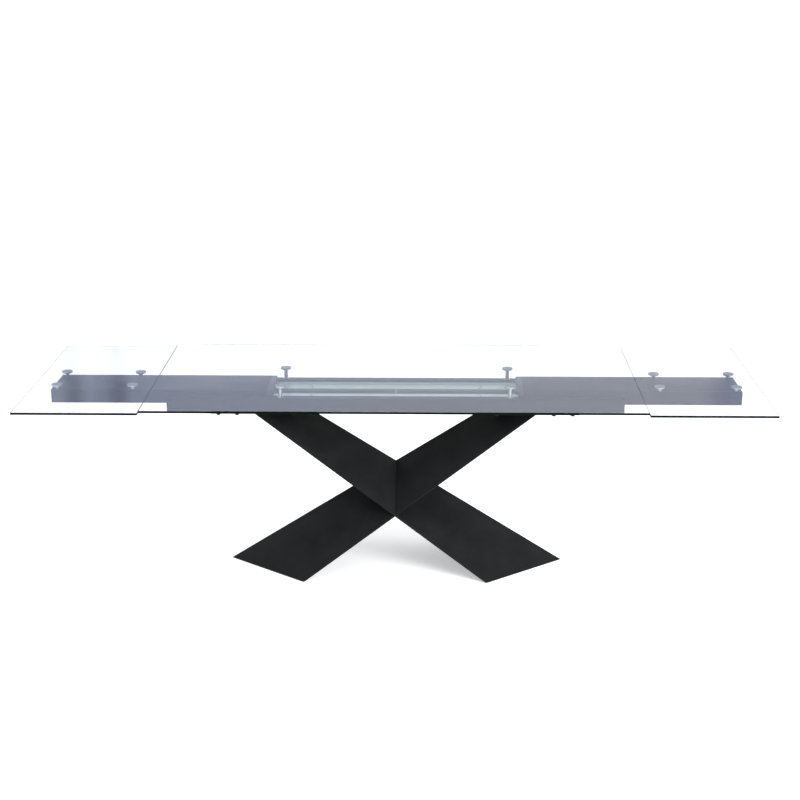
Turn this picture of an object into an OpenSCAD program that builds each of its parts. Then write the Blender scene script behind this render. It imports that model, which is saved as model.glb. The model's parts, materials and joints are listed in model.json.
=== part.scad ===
// Extending dining table with a glass top.
// A fixed glass pane stands on a steel frame over a crossed plate base, and a
// glass leaf slides out of each end on its own roller carriage.
// Millimetres. +Z is up, -Y is the front, and the origin is on the floor under
// the middle of the table. The leaves are drawn pulled fully out.

/* [Glass top] */
// Height of the top face of the fixed pane above the floor
table_h = 750; // [720:1:780]
// Length of the fixed pane
main_len = 1800; // [1500:10:2200]
// Front-to-back depth of all three panes
table_depth = 900; // [700:10:1100]
// Length of one leaf
leaf_len = 450; // [360:5:540]
// Thickness of the toughened glass
glass_t = 8; // [6:0.5:12]
// Radius of the vertical corners of the panes
corner_r = 4; // [2:0.5:12]
// Width of the ground arris along every edge of the glass
arris = 1.2; // [0.4:0.1:1.5]
// Gap in plan between the fixed pane and a leaf that is pulled out
seam_gap = 2; // [1:0.5:4]
// Height of the gap in which a leaf slides under the fixed pane
slide_gap = 0.4; // [0.3:0.1:1.5]

/* [Glass supports] */
// Diameter of the steel discs bonded under the glass
disc_d = 41; // [30:1:60]
// Thickness of the bonded discs
disc_t = 7; // [4:0.5:10]
// Diameter of the support posts
post_d = 14; // [10:0.5:18]
// Height of the thin lock nut at the foot of a post
nut_h = 4; // [3:0.5:8]
// Width of the lock nuts across their flats
nut_af = 22; // [19:0.5:30]
// Height of the underside of the fixed pane above the beams
main_post_h = 47; // [44:1:70]
// Height of the leaf posts that shows between the cover and the discs
leaf_post_h = 12; // [8:1:20]
// Gap between a fixed disc and the edge of a leaf that is pushed in
disc_to_leaf = 3.5; // [2:0.5:10]
// Distance from the inner edge of a leaf to its first pair of posts
leaf_post_first = 84; // [60:1:120]
// Distance from the outer edge of a leaf to its last pair of posts
leaf_post_last = 81; // [60:1:120]
// Distance from the side of the carriage cover in to the leaf posts
leaf_post_edge = 12.5; // [12:0.5:20]

/* [Frame] */
// Length of the frame beams
frame_len = 1700; // [1400:10:2100]
// Overall width of the frame
frame_w = 280; // [232:1:340]
// Height of the rectangular beams
beam_h = 50; // [44:1:64]
// Width of the rectangular beams
beam_w = 38; // [30:1:50]
// Wall of the beams
beam_wall = 2.5; // [2:0.5:4]
// Thickness of the flat bars that join the beams
crossbar_t = 4; // [3:0.5:6]
// Width of those bars
crossbar_w = 50; // [30:1:80]
// Height of those bars above the underside of the beams
crossbar_lift = 4; // [0:1:10]
// Thickness of the sheet pan between the beams
pan_t = 1.5; // [1:0.5:3]

/* [Guide rails] */
// Wall of a guide rail
rail_wall = 3; // [2:0.5:4]
// Half of the free width between the two rails
rail_inner = 32; // [30:1:36]
// Gap between the back of a rail and the side of the carriage cover
rail_side_gap = 3.5; // [2:0.5:5]
// Distance from the top of a beam down to the raised back of the rail beside it
rail_back_gap = 4; // [2:0.5:8]
// Width of the slanted slot through the top flange of a rail
rail_slot_w = 4; // [3:0.5:8]
// Distance from the middle of the table to that slot
rail_slot_x = 315; // [200:5:400]

/* [Carriages] */
// Diameter of the rollers
roller_d = 22; // [18:0.5:26]
// Width of a roller
roller_w = 14; // [10:1:18]
// Gap above and below a roller in its rail
roller_gap = 0.3; // [0.2:0.05:0.6]
// Diameter of the roller axles
axle_d = 10; // [8:0.5:12]
// Radial running clearance of an axle in its bushes
axle_clear = 0.05; // [0.02:0.01:0.1]
// Gap between the lower edge of the carriage cover and the pan
cover_floor_gap = 9.5; // [6:0.5:12]
// Thickness of the cover sheet
cover_t = 3; // [2:0.5:4]
// Gap between the cover and the beams on each side
cover_side_gap = 3.5; // [2:0.5:4]
// Distance from the last pair of leaf posts to the outer end of the cover
cover_end = 21; // [16:1:40]
// Width of the spine channel under the cover
spine_w = 52; // [40:1:54]
// Sheet thickness of the spine channel
spine_t = 3; // [2:0.5:5]
// Length of the moulded cap at the inner end of a carriage
cap_len = 21; // [12:1:30]
// Thickness of the rubber buffer on that cap
buffer_t = 4; // [3:0.5:8]

/* [Base] */
// Distance from the middle of the table to the tip of a foot
foot_x = 650; // [520:1:760]
// Distance from the middle to the top end of a ridge
arm_top_x = 360; // [300:1:420]
// Width of a base plate, from the ridge to its free edge, at the floor
plate_foot_w = 312; // [240:1:330]
// Width of a base plate at its top end
plate_top_w = 170; // [120:1:200]
// Slope of the plates on both sides of the ridge
plate_dip = 34.5; // [28:0.5:42]
// Thickness of the base plates
plate_t = 5; // [4:0.5:8]
// Thickness of the plates that bolt the base to the frame
mount_t = 6; // [5:0.5:10]
// Length of a mounting plate that reaches inwards past the ridge
mount_lap = 10; // [5:1:30]
// Length of a mounting plate
mount_len = 338; // [320:1:360]
// Height of the nylon glides under the feet
glide_h = 2; // [1:0.5:6]
// Diameter of the glides
glide_d = 26; // [18:1:32]

/* [Hidden] */
$fn = 64;
clear = 0.3;

// Glass levels. A leaf runs one glass thickness and one sliding gap lower
// than the fixed pane, so that it can pass beneath it.
leaf_drop = glass_t + slide_gap;
main_under = table_h - glass_t;
leaf_under = main_under - leaf_drop;
leaf_x0 = main_len / 2 + seam_gap;
leaf_x1 = leaf_x0 + leaf_len;
leaf_travel = leaf_len;

// Frame levels and widths
frame_top = main_under - main_post_h;
frame_z = frame_top - beam_h;
beam_y0 = frame_w / 2 - beam_w;
beam_y = frame_w / 2 - beam_w / 2;
pan_z = frame_z + crossbar_lift + crossbar_t;
pan_top = pan_z + pan_t;

// Posts
main_post_x = leaf_x0 - leaf_travel - disc_to_leaf - disc_d / 2;
cover_y = beam_y0 - cover_side_gap;
leaf_post_x = [leaf_x0 + leaf_post_first, leaf_x1 - leaf_post_last];
leaf_post_y = cover_y - leaf_post_edge;
post_tail = 8;
post_seat = 3;

// Carriage cover
cover_top = leaf_under - disc_t - leaf_post_h;
cover_under = cover_top - cover_t;
cover_bottom = pan_top + cover_floor_gap;
cover_h = cover_top - cover_bottom;
carriage_x0 = leaf_travel + 5;
cap_x0 = carriage_x0 + buffer_t;
cap_x1 = cap_x0 + cap_len;
cover_x1 = leaf_post_x[1] + cover_end;

// Guide rails. They end short of the closed end of a cover that is pushed in.
rail_half = min(frame_len / 2, cover_x1 - leaf_travel - cover_t - 3);
rail_floor = pan_top + rail_wall;
rail_ceiling = rail_floor + roller_d + 2 * roller_gap;
rail_top = rail_ceiling + rail_wall;
rail_back_top = max(rail_top, frame_top - rail_back_gap);
rail_outer = cover_y - cover_t - rail_side_gap;
rail_slant = 17;
crossbar_x = [-rail_half + 46, -0.62 * rail_half, 0, 0.62 * rail_half, rail_half - 46];

// Axles, rollers and the spine that carries them
axle_z = rail_floor + roller_gap + roller_d / 2;
axle_inner_x = cap_x1 + 22;
axle_outer_x = rail_half - 26;
roller_y0 = rail_outer - rail_wall - roller_w - 17;
axle_half = roller_y0 + roller_w + 3;
axle_r = axle_d / 2;
bush_r = axle_r + 2;
bush_flange_r = bush_r + 2;
bush_flange_t = 1.5;
spine_y = spine_w / 2;
spine_x0 = cap_x1 + 2;
spine_x1 = cover_x1 - cover_t - 4;
spine_bottom = axle_z - 9;

// Base. A member is a ridge that rises from a foot on one side to the frame
// on the other side, with a flat plate sloping down from it front and rear.
base_top = frame_z - mount_t;
ridge_run = foot_x + arm_top_x;
ridge_angle = atan2(base_top, ridge_run);
ridge_len = norm([ridge_run, base_top]);
plate_taper = (plate_foot_w - plate_top_w) / ridge_len;
// The plates are drawn longer than the ridge and then trimmed level.
overrun = 400;

// Unit normal of the plate that faces forwards, upwards and towards its foot
plate_normal = [
    sin(ridge_angle) * cos(plate_dip),
    -sin(plate_dip),
    cos(ridge_angle) * cos(plate_dip)
];
// Angle in plan between the level cut at the foot and the X axis
cut_angle = atan2(plate_normal[0], -plate_normal[1]);

// Foot plate, a level triangle that fits inside the ridge
foot_t = 5;
foot_top = glide_h + foot_t;
foot_apex_x = foot_x - foot_top / tan(ridge_angle) - plate_t / plate_normal[0];
foot_half = 0.7 * plate_foot_w;
foot_back_x = foot_apex_x - foot_half / tan(cut_angle);
glide_stem_d = 8;
glide_places = [
    [foot_apex_x - 46, 0],
    [foot_back_x + 16, foot_half - 38],
    [foot_back_x + 16, 38 - foot_half]
];

// Bolts between the base and the beams
mount_x0 = arm_top_x - mount_lap;
bolt_d = 8;
bolt_hole_d = 9;
bolt_af = 13;
bolt_head_h = 5.3;
bolt_len = 20;
nut_t = 6.5;
washer_d = 20;
washer_t = 1.6;
bolt_x = [mount_x0 + 30, mount_x0 + 0.716 * mount_len, mount_x0 + mount_len - 26];

// ---- Shared shapes ----

// The carriages are drawn on the right. side is 1 for right and -1 for left.
module on_side(side) {
    mirror([side < 0 ? 1 : 0, 0, 0]) children();
}

// A child drawn at +X, +Y is repeated in all four quarters.
module in_quarters() {
    for (mx = [0, 1])
        for (my = [0, 1])
            mirror([mx, 0, 0])
                mirror([0, my, 0])
                    children();
}

// A child drawn at +Y is repeated at -Y.
module front_and_rear() {
    for (my = [0, 1])
        mirror([0, my, 0]) children();
}

module along_y(x, z) {
    translate([x, 0, z]) rotate([-90, 0, 0]) children();
}

// Outline of a pane's section, with its arris on all four corners.
module arris_section(length) {
    polygon([
        [arris, 0], [length - arris, 0], [length, arris], [length, glass_t - arris],
        [length - arris, glass_t], [arris, glass_t], [0, glass_t - arris], [0, arris]
    ]);
}

module rounded_plan(length, width, r) {
    difference() {
        square([length, width]);
        for (cx = [0, 1])
            for (cy = [0, 1])
                translate([cx * length, cy * width])
                    mirror([cx, 0])
                        mirror([0, cy])
                            difference() {
                                translate([-1, -1]) square(r + 1);
                                translate([r, r]) circle(r);
                            }
    }
}

module pane(x0, length, under) {
    translate([x0, -table_depth / 2, under])
        intersection() {
            linear_extrude(glass_t) rounded_plan(length, table_depth, corner_r);
            translate([0, table_depth, 0])
                rotate([90, 0, 0])
                    linear_extrude(table_depth) arris_section(length);
            rotate([90, 0, 90])
                linear_extrude(length) arris_section(table_depth);
        }
}

// Disc bonded to the glass: flat top, broken edges, blind seat for the post.
module pad_disc(top) {
    edge = 0.8;
    translate([0, 0, top - disc_t])
        rotate_extrude()
            polygon([
                [0, post_seat], [post_d / 2, post_seat],
                [post_d / 2, 0], [disc_d / 2 - 2 * edge, 0],
                [disc_d / 2, 2 * edge], [disc_d / 2, disc_t - edge],
                [disc_d / 2 - edge, disc_t], [0, disc_t]
            ]);
}

// Post from below the plate it is screwed into, up into the seat of its disc.
module post(bottom, disc_top) {
    translate([0, 0, bottom])
        cylinder(d = post_d, h = disc_top - disc_t + post_seat - bottom);
}

module hex_nut(af, h, hole_d) {
    difference() {
        cylinder(d = af / cos(30), h = h, $fn = 6);
        translate([0, 0, -1]) cylinder(d = hole_d, h = h + 2);
    }
}

// ---- Fixed top ----

module main_glass() {
    color([0.80, 0.90, 0.88, 0.35])
        pane(-main_len / 2, main_len, main_under);
}

module main_pad_discs() {
    color("silver")
        in_quarters()
            translate([main_post_x, beam_y, 0]) pad_disc(main_under);
}

module main_posts() {
    color("silver")
        in_quarters()
            translate([main_post_x, beam_y, 0]) post(frame_top - post_tail, main_under);
}

module main_post_nuts() {
    color("silver")
        in_quarters()
            translate([main_post_x, beam_y, frame_top]) hex_nut(nut_af, nut_h, post_d);
}

// ---- Frame ----

// Rectangular tube with a hole for each post and for each base bolt.
module frame_beam() {
    color([0.12, 0.12, 0.13])
        difference() {
            translate([-frame_len / 2, beam_y0, frame_z]) cube([frame_len, beam_w, beam_h]);
            translate([-frame_len / 2 - 1, beam_y0 + beam_wall, frame_z + beam_wall])
                cube([frame_len + 2, beam_w - 2 * beam_wall, beam_h - 2 * beam_wall]);
            for (side = [-1, 1]) {
                translate([side * main_post_x, beam_y, frame_top - beam_wall - 1])
                    cylinder(d = post_d, h = beam_wall + 2);
                for (x = bolt_x)
                    translate([side * x, beam_y, frame_z - 1])
                        cylinder(d = bolt_hole_d, h = beam_wall + 2);
            }
        }
}

// Plastic plug with a flat flange that closes each end of the beams.
module beam_end_caps() {
    flange_t = 2;
    plug = 14;
    fit = 0.2;
    color([0.08, 0.08, 0.08])
        in_quarters() {
            translate([frame_len / 2, beam_y0, frame_z]) cube([flange_t, beam_w, beam_h]);
            translate([frame_len / 2 - plug, beam_y0 + beam_wall + fit, frame_z + beam_wall + fit])
                cube([plug, beam_w - 2 * (beam_wall + fit), beam_h - 2 * (beam_wall + fit)]);
        }
}

module frame_crossbars() {
    color([0.12, 0.12, 0.13])
        for (x = crossbar_x)
            translate([x - crossbar_w / 2, -beam_y0, frame_z + crossbar_lift])
                cube([crossbar_w, 2 * beam_y0, crossbar_t]);
}

module frame_pan() {
    color([0.70, 0.74, 0.74])
        translate([-frame_len / 2, -beam_y0, pan_z])
            cube([frame_len, 2 * beam_y0, pan_t]);
}

// ---- Guide rails ----

// C section, open towards the middle of the table. Its back stands up beside
// the beam.
module rail_section() {
    translate([rail_outer - rail_wall, rail_ceiling])
        square([rail_wall, rail_back_top - rail_ceiling]);
    difference() {
        translate([rail_inner, pan_top]) square([rail_outer - rail_inner, rail_top - pan_top]);
        translate([rail_inner - 1, rail_floor])
            square([rail_outer - rail_wall - rail_inner + 1, rail_ceiling - rail_floor]);
    }
}

// Slot across the top flange that lies at a slant in plan. It stops short of
// the back of the rail.
module rail_slot(side) {
    slot_len = (rail_outer - rail_inner) / cos(rail_slant);
    translate([side * rail_slot_x, rail_inner, rail_ceiling - 1])
        rotate([0, 0, -side * rail_slant])
            translate([-rail_slot_w / 2, -10, 0])
                cube([rail_slot_w, slot_len + 4, rail_wall + 2]);
}

module rail_screw_places() {
    for (x = crossbar_x)
        translate([x, rail_inner + 12, rail_floor]) children();
}

module guide_rail() {
    color([0.74, 0.78, 0.79])
        difference() {
            translate([-rail_half, 0, 0])
                rotate([90, 0, 90])
                    linear_extrude(2 * rail_half) rail_section();
            for (side = [-1, 1]) rail_slot(side);
            rail_screw_places()
                translate([0, 0, -rail_wall - 1]) cylinder(d = 5, h = rail_wall + 2);
        }
}

// Low-head screws that hold the rails down to the pan.
module rail_screws() {
    head_h = 1.6;
    color("silver")
        front_and_rear()
            rail_screw_places() {
                cylinder(d = 9, h = head_h);
                translate([0, 0, -rail_wall]) cylinder(d = 4.8, h = rail_wall);
            }
}

// Nylon blocks inside the rail ends, which stop the outer rollers.
module rail_end_stops() {
    stop_len = rail_half - axle_outer_x - roller_d / 2 - 2;
    color([0.85, 0.85, 0.82])
        in_quarters()
            translate([rail_half - stop_len, roller_y0, rail_floor])
                cube([stop_len, rail_outer - rail_wall - roller_y0, rail_ceiling - rail_floor]);
}

// Rubber block between the rails that the two carriage buffers close on.
module centre_stop() {
    color([0.10, 0.10, 0.10])
        translate([-3, 4 - spine_y, pan_top])
            cube([6, 2 * (spine_y - 4), rail_top - pan_top]);
}

// ---- Base ----

// Plate of one ridge member on the -Y side of the ridge. The ridge rises from
// the foot at +X to the frame at -X, and the plate is trimmed level at both ends.
module ridge_plate(z0, x_low, x_high) {
    trim_x = x_high - x_low;
    intersection() {
        translate([foot_x, 0, 0])
            rotate([0, ridge_angle - 180, 0])
                rotate([180 - plate_dip, 0, 0])
                    translate([0, 0, -plate_t])
                        linear_extrude(plate_t)
                            polygon([
                                [-overrun, -plate_t * 2],
                                [ridge_len + overrun, -plate_t * 2],
                                [ridge_len + overrun, plate_top_w - overrun * plate_taper],
                                [-overrun, plate_foot_w + overrun * plate_taper]
                            ]);
        translate([x_low, -table_depth, z0])
            cube([trim_x, table_depth, base_top - z0]);
    }
}

module arm_plate() {
    ridge_plate(glide_h, -2 * foot_x, 0);
}

// The legs are cut to lie against the undersides of the two arms.
module leg_plate() {
    difference() {
        ridge_plate(glide_h, 0, 2 * foot_x);
        mirror([1, 0, 0]) arm_plate();
    }
}

// flip_x and rear mirror a plate drawn at the front of the right-hand foot.
module base_plate(flip_x, rear) {
    color([0.13, 0.13, 0.14])
        mirror([flip_x, 0, 0])
            mirror([0, rear, 0])
                children();
}

// Level plate inside a foot, welded between its two sloping plates.
module foot_plate() {
    color([0.13, 0.13, 0.14])
        translate([0, 0, glide_h])
            difference() {
                linear_extrude(foot_t)
                    polygon([
                        [foot_apex_x, 0], [foot_back_x, foot_half], [foot_back_x, -foot_half]
                    ]);
                for (place = glide_places)
                    translate([place[0], place[1], -1])
                        cylinder(d = glide_stem_d, h = foot_t + 2);
            }
}

// Screw-in glides: a disc on the floor and a stem through the foot plate.
module floor_glides() {
    color([0.05, 0.05, 0.05])
        for (side = [-1, 1])
            on_side(side)
                for (place = glide_places)
                    translate([place[0], place[1], 0]) {
                        cylinder(d = glide_d, h = glide_h);
                        cylinder(d = glide_stem_d, h = foot_top + 3);
                    }
}

module mount_plate() {
    edge = 6;
    color([0.12, 0.12, 0.13])
        difference() {
            translate([mount_x0, -frame_w / 2 + edge, base_top])
                cube([mount_len, frame_w - 2 * edge, mount_t]);
            front_and_rear()
                for (x = bolt_x)
                    translate([x, beam_y, base_top - 1]) cylinder(d = bolt_hole_d, h = mount_t + 2);
        }
}

module at_bolts() {
    for (side = [-1, 1])
        on_side(side)
            front_and_rear()
                for (x = bolt_x)
                    translate([x, beam_y, base_top]) children();
}

module mount_bolts() {
    color([0.10, 0.10, 0.11])
        at_bolts() {
            translate([0, 0, -washer_t - bolt_head_h])
                cylinder(d = bolt_af / cos(30), h = bolt_head_h, $fn = 6);
            translate([0, 0, -washer_t]) cylinder(d = bolt_d, h = bolt_len + washer_t);
        }
}

module mount_washers() {
    color([0.10, 0.10, 0.11])
        at_bolts()
            translate([0, 0, -washer_t])
                difference() {
                    cylinder(d = washer_d, h = washer_t);
                    translate([0, 0, -1]) cylinder(d = bolt_d + 0.4, h = washer_t + 2);
                }
}

// Nuts that are held captive inside the beams.
module mount_nuts() {
    color("silver")
        at_bolts()
            translate([0, 0, mount_t + beam_wall])
                hex_nut(bolt_af, nut_t, bolt_d + 0.2);
}

// ---- Leaf and carriage, drawn on the right ----

module at_leaf_posts() {
    front_and_rear()
        for (x = leaf_post_x)
            translate([x, leaf_post_y, 0]) children();
}

module leaf_glass() {
    color([0.80, 0.90, 0.88, 0.35])
        pane(leaf_x0, leaf_len, leaf_under);
}

module leaf_pad_discs() {
    color("silver") at_leaf_posts() pad_disc(leaf_under);
}

module leaf_posts() {
    color("silver") at_leaf_posts() post(cover_under - post_tail, leaf_under);
}

// A thin lock nut on each leaf post, under the cover.
module leaf_post_nuts() {
    color("silver")
        at_leaf_posts()
            translate([0, 0, cover_under - nut_h]) hex_nut(nut_af - 3, nut_h, post_d);
}

// Folded sheet cover: open below, closed at its outer end.
module carriage_cover() {
    color([0.12, 0.12, 0.13])
        difference() {
            translate([cap_x1, -cover_y, cover_bottom])
                cube([cover_x1 - cap_x1, 2 * cover_y, cover_h]);
            translate([cap_x1 - 1, -cover_y + cover_t, cover_bottom - 1])
                cube([cover_x1 - cap_x1 - cover_t + 1, 2 * (cover_y - cover_t), cover_h - cover_t + 1]);
            at_leaf_posts()
                translate([0, 0, cover_under - 1]) cylinder(d = post_d, h = cover_t + 2);
        }
}

// Moulded cap at the inner end, which bridges over the two rails.
module carriage_cap() {
    color([0.30, 0.31, 0.33])
        difference() {
            translate([cap_x0, -cover_y, cover_bottom]) cube([cap_len, 2 * cover_y, cover_h]);
            front_and_rear()
                translate([cap_x0 - 1, spine_y, cover_bottom - 1])
                    cube([cap_len + 2, cover_y - cover_t - spine_y, rail_back_top + 4 - cover_bottom]);
        }
}

module carriage_buffer() {
    color([0.10, 0.10, 0.10])
        translate([carriage_x0, 6 - spine_y, axle_z - 8])
            cube([buffer_t, 2 * (spine_y - 6), 22]);
}

// Channel under the cover that carries the axles and stiffens the overhang.
module carriage_spine() {
    color([0.18, 0.18, 0.19])
        difference() {
            translate([spine_x0, -spine_y, spine_bottom])
                cube([spine_x1 - spine_x0, spine_w, cover_under - spine_bottom]);
            translate([spine_x0 - 1, spine_t - spine_y, spine_bottom - 1])
                cube([
                    spine_x1 - spine_x0 + 2,
                    spine_w - 2 * spine_t,
                    cover_under - spine_t - spine_bottom + 1
                ]);
            for (x = [axle_inner_x, axle_outer_x])
                along_y(x, axle_z)
                    cylinder(r = bush_r, h = spine_w + 2, center = true);
        }
}

// Flanged bushes in the two legs of the spine.
module axle_bushes() {
    color([0.85, 0.85, 0.80])
        for (x = [axle_inner_x, axle_outer_x])
            front_and_rear()
                along_y(x, axle_z)
                    difference() {
                        union() {
                            translate([0, 0, spine_y - spine_t])
                                cylinder(r = bush_r, h = spine_t);
                            translate([0, 0, spine_y])
                                cylinder(r = bush_flange_r, h = bush_flange_t);
                        }
                        cylinder(r = axle_r + axle_clear, h = spine_w);
                    }
}

// Turned axle with a thicker length on each side between bush and roller.
module axle(x) {
    shoulder_y0 = spine_y + bush_flange_t + clear;
    color("silver")
        along_y(x, axle_z) {
            cylinder(r = axle_r, h = 2 * axle_half, center = true);
            for (end = [0, 1])
                mirror([0, 0, end])
                    translate([0, 0, shoulder_y0])
                        cylinder(r = bush_r, h = roller_y0 - shoulder_y0);
        }
}

// A pair of nylon rollers pressed onto the ends of an axle.
module rollers(x) {
    edge = 1;
    color([0.90, 0.90, 0.86])
        front_and_rear()
            along_y(x, axle_z)
                translate([0, 0, roller_y0])
                    rotate_extrude()
                        polygon([
                            [axle_r, 0], [roller_d / 2 - edge, 0], [roller_d / 2, edge],
                            [roller_d / 2, roller_w - edge], [roller_d / 2 - edge, roller_w],
                            [axle_r, roller_w]
                        ]);
}

main_glass();
main_pad_discs();
main_posts();
main_post_nuts();
mirror([0, 1, 0]) frame_beam();  // frame_beam_front
frame_beam();  // frame_beam_rear
beam_end_caps();
frame_crossbars();
frame_pan();
mirror([0, 1, 0]) guide_rail();  // guide_rail_front
guide_rail();  // guide_rail_rear
rail_screws();
rail_end_stops();
centre_stop();
on_side(-1) mount_plate();  // mount_plate_left
mount_plate();  // mount_plate_right
mount_bolts();
mount_washers();
mount_nuts();
base_plate(0, 0) arm_plate();  // base_arm_left_front
base_plate(0, 1) arm_plate();  // base_arm_left_rear
base_plate(1, 0) arm_plate();  // base_arm_right_front
base_plate(1, 1) arm_plate();  // base_arm_right_rear
base_plate(1, 0) leg_plate();  // base_leg_left_front
base_plate(1, 1) leg_plate();  // base_leg_left_rear
base_plate(0, 0) leg_plate();  // base_leg_right_front
base_plate(0, 1) leg_plate();  // base_leg_right_rear
on_side(-1) foot_plate();  // foot_plate_left
foot_plate();  // foot_plate_right
floor_glides();
on_side(-1) leaf_glass();  // leaf_glass_left
on_side(-1) leaf_pad_discs();  // leaf_pad_discs_left
on_side(-1) leaf_posts();  // leaf_posts_left
on_side(-1) leaf_post_nuts();  // leaf_post_nuts_left
on_side(-1) carriage_cover();  // carriage_cover_left
on_side(-1) carriage_cap();  // carriage_cap_left
on_side(-1) carriage_buffer();  // carriage_buffer_left
on_side(-1) carriage_spine();  // carriage_spine_left
on_side(-1) axle_bushes();  // axle_bushes_left
on_side(-1) axle(axle_inner_x);  // axle_inner_left
on_side(-1) rollers(axle_inner_x);  // rollers_inner_left
on_side(-1) axle(axle_outer_x);  // axle_outer_left
on_side(-1) rollers(axle_outer_x);  // rollers_outer_left
leaf_glass();  // leaf_glass_right
leaf_pad_discs();  // leaf_pad_discs_right
leaf_posts();  // leaf_posts_right
leaf_post_nuts();  // leaf_post_nuts_right
carriage_cover();  // carriage_cover_right
carriage_cap();  // carriage_cap_right
carriage_buffer();  // carriage_buffer_right
carriage_spine();  // carriage_spine_right
axle_bushes();  // axle_bushes_right
axle(axle_inner_x);  // axle_inner_right
rollers(axle_inner_x);  // rollers_inner_right
axle(axle_outer_x);  // axle_outer_right
rollers(axle_outer_x);  // rollers_outer_right
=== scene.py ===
# %% [markdown]
# # An extending glass dining table
# This lesson dresses a finished CAD model of a dining table in Blender. The top is a pane of
# clear toughened glass that stands on steel discs. A black sheet-steel frame runs under it, and
# a glass leaf slides out of each end on its own carriage. The base is two crossed ridges of
# folded plate. The CAD model is already in place, so the lesson is about edges and finish.

# %% Load the table
import bmesh
import bpy
import json
import math
from mathutils import Euler, Matrix, Vector


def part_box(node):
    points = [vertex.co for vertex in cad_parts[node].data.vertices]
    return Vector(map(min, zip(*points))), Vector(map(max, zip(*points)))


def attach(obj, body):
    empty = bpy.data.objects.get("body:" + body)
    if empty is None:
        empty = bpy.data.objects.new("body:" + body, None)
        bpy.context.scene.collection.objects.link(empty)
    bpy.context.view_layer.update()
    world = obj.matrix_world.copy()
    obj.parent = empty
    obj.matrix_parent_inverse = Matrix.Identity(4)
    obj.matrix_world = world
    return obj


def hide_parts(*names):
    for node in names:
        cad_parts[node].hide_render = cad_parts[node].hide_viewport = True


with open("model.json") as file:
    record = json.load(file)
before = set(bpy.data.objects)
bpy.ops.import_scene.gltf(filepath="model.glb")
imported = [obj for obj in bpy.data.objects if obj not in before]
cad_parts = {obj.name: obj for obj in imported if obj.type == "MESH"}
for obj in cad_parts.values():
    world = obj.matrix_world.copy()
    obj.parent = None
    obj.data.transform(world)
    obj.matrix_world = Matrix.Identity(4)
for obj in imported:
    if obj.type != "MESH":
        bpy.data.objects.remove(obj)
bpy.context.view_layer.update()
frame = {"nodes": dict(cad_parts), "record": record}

MM = 0.001

# %% [markdown]
# ## Helpers for materials
# Colours are easier to choose as the hex values that any paint program shows. Blender's shaders
# want linear light, so one function turns hex into that. Every node is added with the same small
# helper, which makes the node, sets its options and fills or links its inputs in one call.
# Patterns are sized by how many real millimetres one repeat takes.

# %% Colour and node helpers
def linear(hex_colour):
    channels = [int(hex_colour[n:n + 2], 16) / 255 for n in (1, 3, 5)]
    bent = [c / 12.92 if c <= 0.04045 else ((c + 0.055) / 1.055) ** 2.4 for c in channels]
    return (*bent, 1.0)


def fill(tree, node, inputs):
    for name, value in inputs.items():
        if isinstance(value, bpy.types.NodeSocket):
            tree.links.new(value, node.inputs[name])
        else:
            node.inputs[name].default_value = value


def add(tree, kind, inputs, **settings):
    node = tree.nodes.new(kind)
    for name, value in settings.items():
        setattr(node, name, value)
    fill(tree, node, inputs)
    return node


def start_material(name, metallic=0.0):
    material = bpy.data.materials.new(name)
    material.use_nodes = True
    tree = material.node_tree
    shader = tree.nodes["Principled BSDF"]
    shader.inputs["Metallic"].default_value = metallic
    place = add(tree, "ShaderNodeTexCoord", {}).outputs["Object"]
    return material, tree, shader, place


def every(size_mm):
    return 1 / (size_mm * MM)


# The Mix node's sockets share names, so they are picked by number.
FACTOR, COLOUR_A, COLOUR_B, MIXED = 0, 6, 7, 2
# A face counts as level when the upward part of its normal is more than this.
LEVEL = 0.9
print("mid grey #808080 in linear light:", round(linear("#808080")[0], 3))
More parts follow.
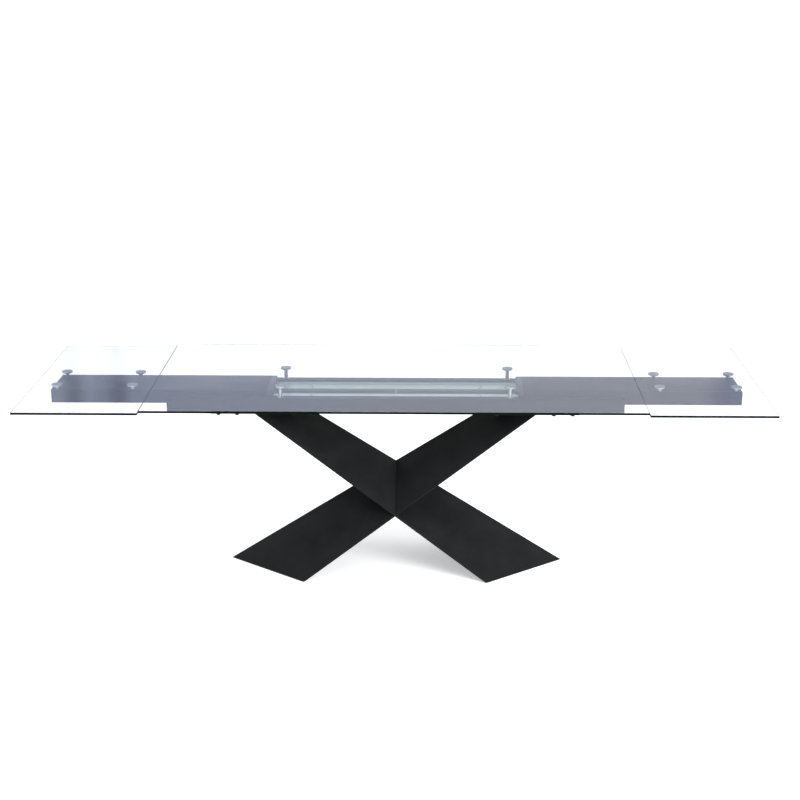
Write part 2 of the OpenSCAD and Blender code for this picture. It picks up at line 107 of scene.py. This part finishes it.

# %% [markdown]
# ## Float glass
# The panes are clear soda-lime float glass, cut, ground and polished along the edges, and then
# toughened. Seen through the face, 8 mm of it is almost colourless. Seen along the sheet, light
# has crossed most of a metre of glass, and the iron in it swallows nearly all of it, so the
# front edge is a dark line. A volume absorption gives the tint of the face. The edges carry painted
# shade for the light held inside the sheet. Every edge seen from outside, and an edge met at a
# grazing angle from inside, has its colour painted almost black and its transmission and gloss
# turned off. Every edge also has its reflection tinted dark. The faces carry a faint smear from
# wiping, and the edges a fine grain from the grinding wheel, which only changes their roughness.

# %% Glass material
def toughened_float_glass():
    material, tree, shader, place = start_material("toughened_float_glass")
    surface = add(tree, "ShaderNodeNewGeometry", {}).outputs
    up = add(tree, "ShaderNodeSeparateXYZ", {"Vector": surface["True Normal"]}).outputs["Z"]
    level = add(tree, "ShaderNodeMath", {0: up}, operation="ABSOLUTE").outputs[0]
    on_edge = add(tree, "ShaderNodeMath", {0: level, 1: LEVEL}, operation="LESS_THAN").outputs[0]
    facing = add(tree, "ShaderNodeLayerWeight", {"Blend": 0.5}).outputs["Facing"]
    grazing = add(tree, "ShaderNodeMapRange", {"Value": facing, "From Min": 0.30, "From Max": 0.50})
    outside = add(tree, "ShaderNodeMath", {0: 1.0, 1: surface["Backfacing"]}, operation="SUBTRACT")
    painted_shade_view = add(
        tree, "ShaderNodeMath", {0: grazing.outputs[0], 1: outside.outputs[0]}, operation="MAXIMUM",
    ).outputs[0]
    # Painted shade: every edge seen from outside, and an edge seen at a grazing angle from inside, is
    # painted almost black.
    painted_edge_shade = add(tree, "ShaderNodeMath", {0: painted_shade_view, 1: on_edge}, operation="MULTIPLY").outputs[0]
    clear = add(tree, "ShaderNodeMath", {0: 1.0, 1: painted_edge_shade}, operation="SUBTRACT").outputs[0]
    gloss = add(tree, "ShaderNodeMath", {0: clear, 1: 0.5}, operation="MULTIPLY").outputs[0]
    sheet = add(
        tree, "ShaderNodeMix",
        {FACTOR: on_edge, COLOUR_A: linear("#fdfefe"), COLOUR_B: linear("#8d9a9c")}, data_type="RGBA",
    )
    body = add(
        tree, "ShaderNodeMix",
        {FACTOR: painted_edge_shade, COLOUR_A: sheet.outputs[MIXED], COLOUR_B: linear("#0a0f0e")}, data_type="RGBA",
    )
    # Painted shade: the reflection of every edge is tinted dark grey.
    shine = add(
        tree, "ShaderNodeMix",
        {FACTOR: on_edge, COLOUR_A: linear("#ffffff"), COLOUR_B: linear("#3a3a3a")}, data_type="RGBA",
    )
    cloth = add(tree, "ShaderNodeMapping", {"Vector": place, "Scale": (1.0, 2.5, 1.0)}).outputs[0]
    smear = add(tree, "ShaderNodeTexNoise", {"Vector": cloth, "Scale": every(180), "Detail": 4.0})
    wiped = add(tree, "ShaderNodeMapRange", {"Value": smear.outputs[0], "To Min": 0.0, "To Max": 0.012})
    grit = add(tree, "ShaderNodeTexNoise", {"Vector": place, "Scale": every(1.2)})
    ground = add(tree, "ShaderNodeMapRange", {"Value": grit.outputs[0], "To Min": 0.04, "To Max": 0.12})
    rough = add(tree, "ShaderNodeMix", {0: on_edge, 2: wiped.outputs[0], 3: ground.outputs[0]})
    fill(tree, shader, {
        "Base Color": body.outputs[MIXED], "IOR": 1.5, "Transmission Weight": clear,
        "Specular IOR Level": gloss, "Specular Tint": shine.outputs[MIXED],
        "Roughness": rough.outputs[0],
    })
    iron = add(tree, "ShaderNodeVolumeAbsorption", {"Color": linear("#3c5a50"), "Density": 6.0})
    fill(tree, tree.nodes["Material Output"], {"Volume": iron.outputs[0]})
    return material


glass = toughened_float_glass()
print("glass nodes:", len(glass.node_tree.nodes))

# %% [markdown]
# ## Powder-coated steel
# The base, the frame and the carriage covers are mild steel with a matt black powder coat. The
# powder melts into a skin with a fine orange peel, about 0.4 mm across. At the distance of
# a whole table that would vanish, so the peel is drawn 3 mm wide and very shallow, and a
# second, broad noise changes the sheen a little, as a sprayed coat does.

# %% Powder coat material
def powder_coated_steel():
    material, tree, shader, place = start_material("powder_coated_steel")
    cloud = add(tree, "ShaderNodeTexNoise", {"Vector": place, "Scale": every(90)}).outputs[0]
    peel = add(tree, "ShaderNodeTexNoise", {"Vector": place, "Scale": every(3)}).outputs[0]
    both = add(tree, "ShaderNodeMath", {0: cloud, 1: peel}, operation="MULTIPLY").outputs[0]
    tone = add(tree, "ShaderNodeMapRange", {"Value": both, "From Min": 0.1, "From Max": 0.4}).outputs[0]
    coat = add(
        tree, "ShaderNodeMix",
        {FACTOR: tone, COLOUR_A: linear("#111212"), COLOUR_B: linear("#1b1c1d")}, data_type="RGBA",
    )
    sheen = add(tree, "ShaderNodeMapRange", {"Value": cloud, "To Min": 0.40, "To Max": 0.56})
    skin = add(tree, "ShaderNodeBump", {"Height": peel, "Distance": 0.12 * MM, "Strength": 0.6})
    fill(tree, shader, {
        "Base Color": coat.outputs[MIXED], "Roughness": sheen.outputs[0],
        "Specular IOR Level": 0.10, "Normal": skin.outputs[0],
    })
    return material


black_steel = powder_coated_steel()
print("powder coat nodes:", len(black_steel.node_tree.nodes))

# %% [markdown]
# ## Metals that are left bare
# Four bare metals show through the glass. The discs and posts are turned stainless steel, with
# fine rings that read as a soft sheen. The rails are extruded aluminium, drawn through
# a die, so their lines run along the table. The pan is dull galvanised sheet with the
# flower-like zinc crystals called spangle. The fasteners are zinc plated, with a slight yellow and blue
# cast. A metal keeps Blender's usual IOR, and its colour is what it reflects.

# %% Bare metal materials
def turned_stainless_steel():
    material, tree, shader, place = start_material("turned_stainless_steel")
    squash = add(tree, "ShaderNodeMapping", {"Vector": place, "Scale": (1.0, 1.0, 6.0)}).outputs[0]
    rings = add(tree, "ShaderNodeTexNoise", {"Vector": squash, "Scale": every(1.5)}).outputs[0]
    cloud = add(tree, "ShaderNodeTexNoise", {"Vector": place, "Scale": every(25)}).outputs[0]
    steel = add(
        tree, "ShaderNodeMix",
        {FACTOR: cloud, COLOUR_A: linear("#8f989d"), COLOUR_B: linear("#a6afb4")}, data_type="RGBA",
    )
    # A disc is glued to the pane by its top, and the glue line there is dull and not a mirror.
    normal = add(tree, "ShaderNodeNewGeometry", {}).outputs["True Normal"]
    up = add(tree, "ShaderNodeSeparateXYZ", {"Vector": normal}).outputs["Z"]
    bare = add(tree, "ShaderNodeMath", {0: up, 1: LEVEL}, operation="LESS_THAN").outputs[0]
    sheen = add(tree, "ShaderNodeMapRange", {"Value": rings, "To Min": 0.26, "To Max": 0.44})
    cut = add(tree, "ShaderNodeBump", {"Height": rings, "Distance": 0.03 * MM})
    fill(tree, shader, {
        "Base Color": steel.outputs[MIXED], "Metallic": bare,
        "Roughness": sheen.outputs[0], "Normal": cut.outputs[0],
    })
    return material


def extruded_aluminium():
    material, tree, shader, place = start_material("extruded_aluminium", metallic=1.0)
    drawn = add(tree, "ShaderNodeMapping", {"Vector": place, "Scale": (0.004, 1.0, 1.0)}).outputs[0]
    die_lines = add(tree, "ShaderNodeTexNoise", {"Vector": drawn, "Scale": every(2.5)}).outputs[0]
    patch = add(tree, "ShaderNodeTexNoise", {"Vector": place, "Scale": every(60)}).outputs[0]
    metal = add(
        tree, "ShaderNodeMix",
        {FACTOR: die_lines, COLOUR_A: linear("#bccdc6"), COLOUR_B: linear("#dcebe4")}, data_type="RGBA",
    )
    sheen = add(tree, "ShaderNodeMapRange", {"Value": patch, "To Min": 0.36, "To Max": 0.54})
    draw = add(tree, "ShaderNodeBump", {"Height": die_lines, "Distance": 0.05 * MM})
    fill(tree, shader, {
        "Base Color": metal.outputs[MIXED], "Roughness": sheen.outputs[0], "Normal": draw.outputs[0],
    })
    return material


def galvanised_sheet():
    material, tree, shader, place = start_material("galvanised_sheet", metallic=1.0)
    spangle = add(tree, "ShaderNodeTexVoronoi", {"Vector": place, "Scale": every(9)})
    crystal = add(tree, "ShaderNodeSeparateColor", {"Color": spangle.outputs["Color"]}).outputs[0]
    zinc_skin = add(
        tree, "ShaderNodeMix",
        {FACTOR: crystal, COLOUR_A: linear("#d6e2dc"), COLOUR_B: linear("#eff7f2")}, data_type="RGBA",
    )
    sheen = add(tree, "ShaderNodeMapRange", {"Value": crystal, "To Min": 0.62, "To Max": 0.78})
    fill(tree, shader, {"Base Color": zinc_skin.outputs[MIXED], "Roughness": sheen.outputs[0]})
    return material


def zinc_plated_steel():
    material, tree, shader, place = start_material("zinc_plated_steel", metallic=1.0)
    cast = add(tree, "ShaderNodeTexNoise", {"Vector": place, "Scale": every(6)}).outputs[0]
    plating = add(
        tree, "ShaderNodeMix",
        {FACTOR: cast, COLOUR_A: linear("#b8bcae"), COLOUR_B: linear("#b9c0c9")}, data_type="RGBA",
    )
    sheen = add(tree, "ShaderNodeMapRange", {"Value": cast, "To Min": 0.24, "To Max": 0.38})
    fill(tree, shader, {"Base Color": plating.outputs[MIXED], "Roughness": sheen.outputs[0]})
    return material


stainless = turned_stainless_steel()
aluminium = extruded_aluminium()
galvanised = galvanised_sheet()
zinc = zinc_plated_steel()
print("bare metals:", stainless.name, aluminium.name, galvanised.name, zinc.name)

# %% [markdown]
# ## Blackened fasteners, nylon, polyethylene and rubber
# The bolts under the frame have a black oxide film, which is dull and slightly brown. The
# rollers and bushes are natural nylon, a milky plastic that lets a little light in. The caps
# of the carriages are grey nylon, and the plugs and glides are black polyethylene. All are
# moulded, so they carry the faint texture of the tool. The buffers are matt rubber.

# %% Fastener and plastic materials
def black_oxide_steel():
    material, tree, shader, place = start_material("black_oxide_steel", metallic=1.0)
    patch = add(tree, "ShaderNodeTexNoise", {"Vector": place, "Scale": every(5)}).outputs[0]
    film = add(
        tree, "ShaderNodeMix",
        {FACTOR: patch, COLOUR_A: linear("#1c1a18"), COLOUR_B: linear("#2c2a29")}, data_type="RGBA",
    )
    sheen = add(tree, "ShaderNodeMapRange", {"Value": patch, "To Min": 0.42, "To Max": 0.58})
    fill(tree, shader, {"Base Color": film.outputs[MIXED], "Roughness": sheen.outputs[0]})
    return material


def moulded_plastic(name, dark, light, rough, scatter):
    material, tree, shader, place = start_material(name)
    flow = add(tree, "ShaderNodeTexNoise", {"Vector": place, "Scale": every(22)}).outputs[0]
    tool = add(tree, "ShaderNodeTexNoise", {"Vector": place, "Scale": every(1)}).outputs[0]
    resin = add(
        tree, "ShaderNodeMix",
        {FACTOR: flow, COLOUR_A: linear(dark), COLOUR_B: linear(light)}, data_type="RGBA",
    )
    sheen = add(
        tree, "ShaderNodeMapRange", {"Value": tool, "To Min": rough - 0.06, "To Max": rough + 0.08},
    )
    skin = add(tree, "ShaderNodeBump", {"Height": tool, "Distance": 0.04 * MM})
    fill(tree, shader, {
        "Base Color": resin.outputs[MIXED], "Roughness": sheen.outputs[0], "Normal": skin.outputs[0],
        "Subsurface Weight": scatter, "Subsurface Scale": 2 * MM,
    })
    return material


black_oxide = black_oxide_steel()
natural_nylon = moulded_plastic("natural_nylon", "#d8d6cb", "#e7e5dc", 0.42, 0.25)
grey_nylon = moulded_plastic("grey_nylon", "#26282b", "#34373a", 0.46, 0.0)
black_plastic = moulded_plastic("black_polyethylene", "#0e0e0f", "#1a1a1b", 0.50, 0.0)
rubber = moulded_plastic("moulded_rubber", "#0c0c0c", "#161616", 0.78, 0.0)

SLOT_MATERIALS = {
    "clear_glass": glass,
    "satin_steel": stainless,
    "black_coated_steel": black_steel,
    "aluminium_rail": aluminium,
    "galvanised_sheet": galvanised,
    "black_oxide_steel": black_oxide,
    "zinc_steel": zinc,
    "grey_nylon": grey_nylon,
    "natural_nylon": natural_nylon,
    "black_plastic": black_plastic,
    "black_rubber": rubber,
}
print("materials:", len(SLOT_MATERIALS))

# %% [markdown]
# ## Dress every CAD node
# The record says which finish each node has, so one loop can dress them all. The loop only
# changes material slots. The CAD meshes stay exactly as they came.

# %% Give each node its finish
slot_of = {part["node"]: part["material_slot"] for part in frame["record"]["subparts"]}
BODIES = frame["record"]["behaviour"]["bodies"]
body_of = {node: body for body, nodes in BODIES.items() for node in nodes}
for node, cad_object in frame["nodes"].items():
    cad_object.data.materials.clear()
    cad_object.data.materials.append(SLOT_MATERIALS[slot_of[node]])
print("dressed:", len(slot_of))

# %% [markdown]
# ## Soften the sheared edges
# A CAD edge is perfectly sharp, and a sharp edge never catches the light. On the real table
# every sheet is folded or deburred, so each edge is a tiny round. A copy of the node is
# welded into one skin and its flat triangles are joined. Every edge that turns by more than
# 30 degrees is then rounded a little, and the copy stands in for the node.

# %% Edge helpers
SHARP = math.radians(30)
FLAT = math.radians(0.5)
SMOOTH = math.radians(40)
NEAR = 0.01 * MM
ROUND_STEPS = 2


def join_flat_faces(shape):
    bmesh.ops.remove_doubles(shape, verts=shape.verts, dist=NEAR)
    bmesh.ops.dissolve_limit(shape, angle_limit=FLAT, verts=shape.verts, edges=shape.edges)


def sharp_edges(shape):
    return [e for e in shape.edges if len(e.link_faces) == 2 and e.calc_face_angle() > SHARP]


def round_edges(shape, edges, radius_mm):
    bmesh.ops.bevel(
        shape, geom=edges, offset=radius_mm * MM, offset_type="OFFSET",
        affect="EDGES", segments=ROUND_STEPS, profile=0.5, material=-1, clamp_overlap=True,
    )


def finish_piece(shape, name, node):
    mesh = bpy.data.meshes.new(name)
    for face in shape.faces:
        face.smooth = True
    shape.to_mesh(mesh)
    shape.free()
    mesh.set_sharp_from_angle(angle=SMOOTH)
    mesh.materials.append(SLOT_MATERIALS[slot_of[node]])
    piece = bpy.data.objects.new(name, mesh)
    bpy.context.scene.collection.objects.link(piece)
    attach(piece, body_of[node])
    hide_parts(node)
    return piece


def copy_of(node):
    shape = bmesh.new()
    shape.from_mesh(frame["nodes"][node].data)
    join_flat_faces(shape)
    return shape


trial = copy_of("frame_beam_front")
print("sharp edges on the front beam:", len(sharp_edges(trial)))
trial.free()

# %% [markdown]
# ## Which edges are rounded, and by how much
# Laser-cut plate is only deburred, so the base gets about half a millimetre. The beams are
# rolled tube and the covers are folded sheet, so their corners are a little wider. Nuts and
# bolts have a small broken edge, and moulded caps a rounder one.

# %% Soften the metal and moulded pieces
EDGE_RADII = {
    "base_": 0.6, "foot_plate": 0.6, "mount_plate": 0.8, "frame_beam": 1.2, "frame_crossbars": 0.6,
    "beam_end_caps": 1.0, "carriage_cover": 1.2, "carriage_cap": 1.0, "carriage_buffer": 1.0,
    "rail_end_stops": 1.0, "main_post_nuts": 0.5, "mount_bolts": 0.5, "mount_nuts": 0.5,
    "leaf_post_nuts": 0.5, "centre_stop": 1.0,
}
softened = []
for node in sorted(frame["nodes"]):
    start = next((name for name in EDGE_RADII if node.startswith(name)), None)
    if start is None:
        continue
    shape = copy_of(node)
    round_edges(shape, sharp_edges(shape), EDGE_RADII[start])
    softened.append(finish_piece(shape, node + "_edged", node))
print("pieces with softened edges:", len(softened))

# %% [markdown]
# ## The glue line over each disc
# Each steel disc is bonded to its pane with a clear adhesive that cures under ultraviolet light.
# The layer is 0.15 mm thick. If a disc touched the glass exactly, the renderer could not tell
# which surface comes first, so the top of each disc is moved down by that much.

# %% Discs with their glue line
GLUE_LINE = 0.15 * MM
for node in ("main_pad_discs", "leaf_pad_discs_left", "leaf_pad_discs_right"):
    shape = copy_of(node)
    pane_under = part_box(node)[1].z
    tops = [vert for vert in shape.verts if abs(vert.co.z - pane_under) < NEAR]
    bmesh.ops.translate(shape, verts=tops, vec=(0, 0, -GLUE_LINE))
    finish_piece(shape, node + "_bonded", node)
print("discs lowered by", GLUE_LINE / MM, "mm")

# %% [markdown]
# ## The studio
# A product like this is shown on a white sweep, so the floor is a very large pale disc, and the
# light is a plain soft white dome. A little above the horizon the dome is greyer and slightly
# blue, like a backdrop that is not lit. The panes reflect that part at a shallow angle, and it
# decides how grey the black frame looks through them. On the far side the backdrop hangs in
# soft folds, which show as faint upright bands over the carriages.

# %% World
scene = bpy.context.scene
scene.view_settings.view_transform = "Standard"
world = bpy.data.worlds.new("soft_studio")
scene.world = world
world.use_nodes = True
sky = world.node_tree

# Height is the sine of the angle above the horizon.
DOME = [(0.0, "#f6f6f8"), (0.20, "#f6f6f8"), (0.24, "#cfd5e4"), (0.34, "#cfd5e4"), (0.60, "#ffffff")]
BACKDROP = [(0.20, "#000000"), (0.24, "#ffffff"), (0.34, "#ffffff"), (0.40, "#000000")]
# Folds of the backdrop: degrees to the right of straight back, and the tint of the cloth there.
FOLDS = [
    (-16.0, "#ffffff"), (-14.5, "#eef2ff"), (-13.8, "#c3c9d8"), (-13.2, "#eaf0ff"), (-12.8, "#dbe2f2"),
    (-12.1, "#bcc1d2"), (-11.5, "#e6ecfa"), (-8.5, "#f2f5ff"), (0.0, "#fbfbff"), (6.0, "#ffffff"),
    (10.4, "#ffffff"), (11.6, "#dedff0"), (13.5, "#ffffff"),
]


def set_stops(ramp, stops):
    elements = ramp.color_ramp.elements
    while len(elements) > 1:
        elements.remove(elements[-1])
    for number, (position, colour) in enumerate(stops):
        stop = elements[0] if number == 0 else elements.new(position)
        stop.position = position
        stop.color = colour


direction = add(sky, "ShaderNodeTexCoord", {}).outputs["Generated"]
parts = add(sky, "ShaderNodeSeparateXYZ", {"Vector": direction}).outputs
dome = add(sky, "ShaderNodeValToRGB", {"Fac": parts["Z"]})
set_stops(dome, [(height, linear(colour)) for height, colour in DOME])
backdrop = add(sky, "ShaderNodeValToRGB", {"Fac": parts["Z"]})
set_stops(backdrop, [(height, linear(colour)) for height, colour in BACKDROP])
turn = add(sky, "ShaderNodeMath", {0: parts["X"], 1: parts["Y"]}, operation="ARCTAN2").outputs[0]
first_fold, last_fold = FOLDS[0][0], FOLDS[-1][0]
across = add(sky, "ShaderNodeMapRange", {
    "Value": turn, "From Min": math.radians(first_fold), "From Max": math.radians(last_fold),
}).outputs[0]
cloth = add(sky, "ShaderNodeValToRGB", {"Fac": across})
cloth.color_ramp.interpolation = "EASE"
fold_span = last_fold - first_fold
set_stops(cloth, [((angle - first_fold) / fold_span, linear(tint)) for angle, tint in FOLDS])
folded = add(
    sky, "ShaderNodeMix",
    {FACTOR: backdrop.outputs[0], COLOUR_A: linear("#ffffff"), COLOUR_B: cloth.outputs[0]},
    data_type="RGBA",
).outputs[MIXED]
studio_light = add(
    sky, "ShaderNodeMix", {FACTOR: 1.0, COLOUR_A: dome.outputs[0], COLOUR_B: folded},
    data_type="RGBA", blend_type="MULTIPLY",
).outputs[MIXED]
fill(sky, sky.nodes["Background"], {"Color": studio_light, "Strength": 1.15})
print("backdrop folds:", len(FOLDS), "over", fold_span, "degrees")

# %% Floor and lamps
FLOOR_RADIUS = 70.0
FLOOR_GAP = 0.4 * MM


def studio_floor():
    shape = bmesh.new()
    bmesh.ops.create_circle(shape, cap_ends=True, segments=96, radius=FLOOR_RADIUS)
    bmesh.ops.translate(shape, verts=shape.verts, vec=(0, 0, -FLOOR_GAP))
    mesh = bpy.data.meshes.new("studio_floor")
    shape.to_mesh(mesh)
    shape.free()
    material, tree, shader, place = start_material("pale_floor")
    patch = add(tree, "ShaderNodeTexNoise", {"Vector": place, "Scale": every(400)}).outputs[0]
    paper = add(
        tree, "ShaderNodeMix",
        {FACTOR: patch, COLOUR_A: linear("#f7f7f7"), COLOUR_B: linear("#fafafa")}, data_type="RGBA",
    )
    fill(tree, shader, {
        "Base Color": paper.outputs[MIXED], "Roughness": 0.9, "Specular IOR Level": 0.0,
        "Emission Color": linear("#ffffff"), "Emission Strength": 0.38,
    })
    mesh.materials.append(material)
    floor = bpy.data.objects.new("studio_floor", mesh)
    scene.collection.objects.link(floor)


def soft_lamp(name, place, aim, width, power):
    data = bpy.data.lights.new(name, "AREA")
    data.shape = "SQUARE"
    data.size = width
    data.energy = power
    lamp = bpy.data.objects.new(name, data)
    lamp.location = place
    lamp.rotation_euler = (Vector(aim) - Vector(place)).to_track_quat("-Z", "Y").to_euler()
    # The panes would mirror the lamp as a hard white square, so it is hidden from them.
    lamp.visible_glossy = False
    lamp.visible_transmission = False
    scene.collection.objects.link(lamp)


studio_floor()
soft_lamp("key_front_right", (3.0, -3.6, 2.2), (0, 0, 0.35), 2.0, 300)

# %% [markdown]
# ## The camera
# The camera stands more than five metres back and looks down a little with a long lens, as
# a catalogue camera does. That keeps the long top almost free of distortion.

# %% Camera
# Where the camera stands in metres, and how it is turned in degrees.
STAND = (0.127, -5.516, 2.380)
DOWN, LEFT, ROLL = 17.37, 1.155, -0.1
camera_data = bpy.data.cameras.new("catalogue_camera")
camera_data.lens = 68.3
camera = bpy.data.objects.new("catalogue_camera", camera_data)
camera.matrix_world = (
    Matrix.Translation(STAND)
    @ Euler((math.radians(90 - DOWN), 0, math.radians(LEFT)), "XYZ").to_matrix().to_4x4()
    @ Matrix.Rotation(math.radians(ROLL), 4, "Z")
)
scene.collection.objects.link(camera)
scene.camera = camera
print("camera lens:", round(camera_data.lens, 1), "mm")

# %% [markdown]
# ## Bring the scene up to date
# The dressed table must be the size of the CAD table. Here the scene is only brought up to date.

# %% Update the scene and finish
bpy.context.view_layer.update()
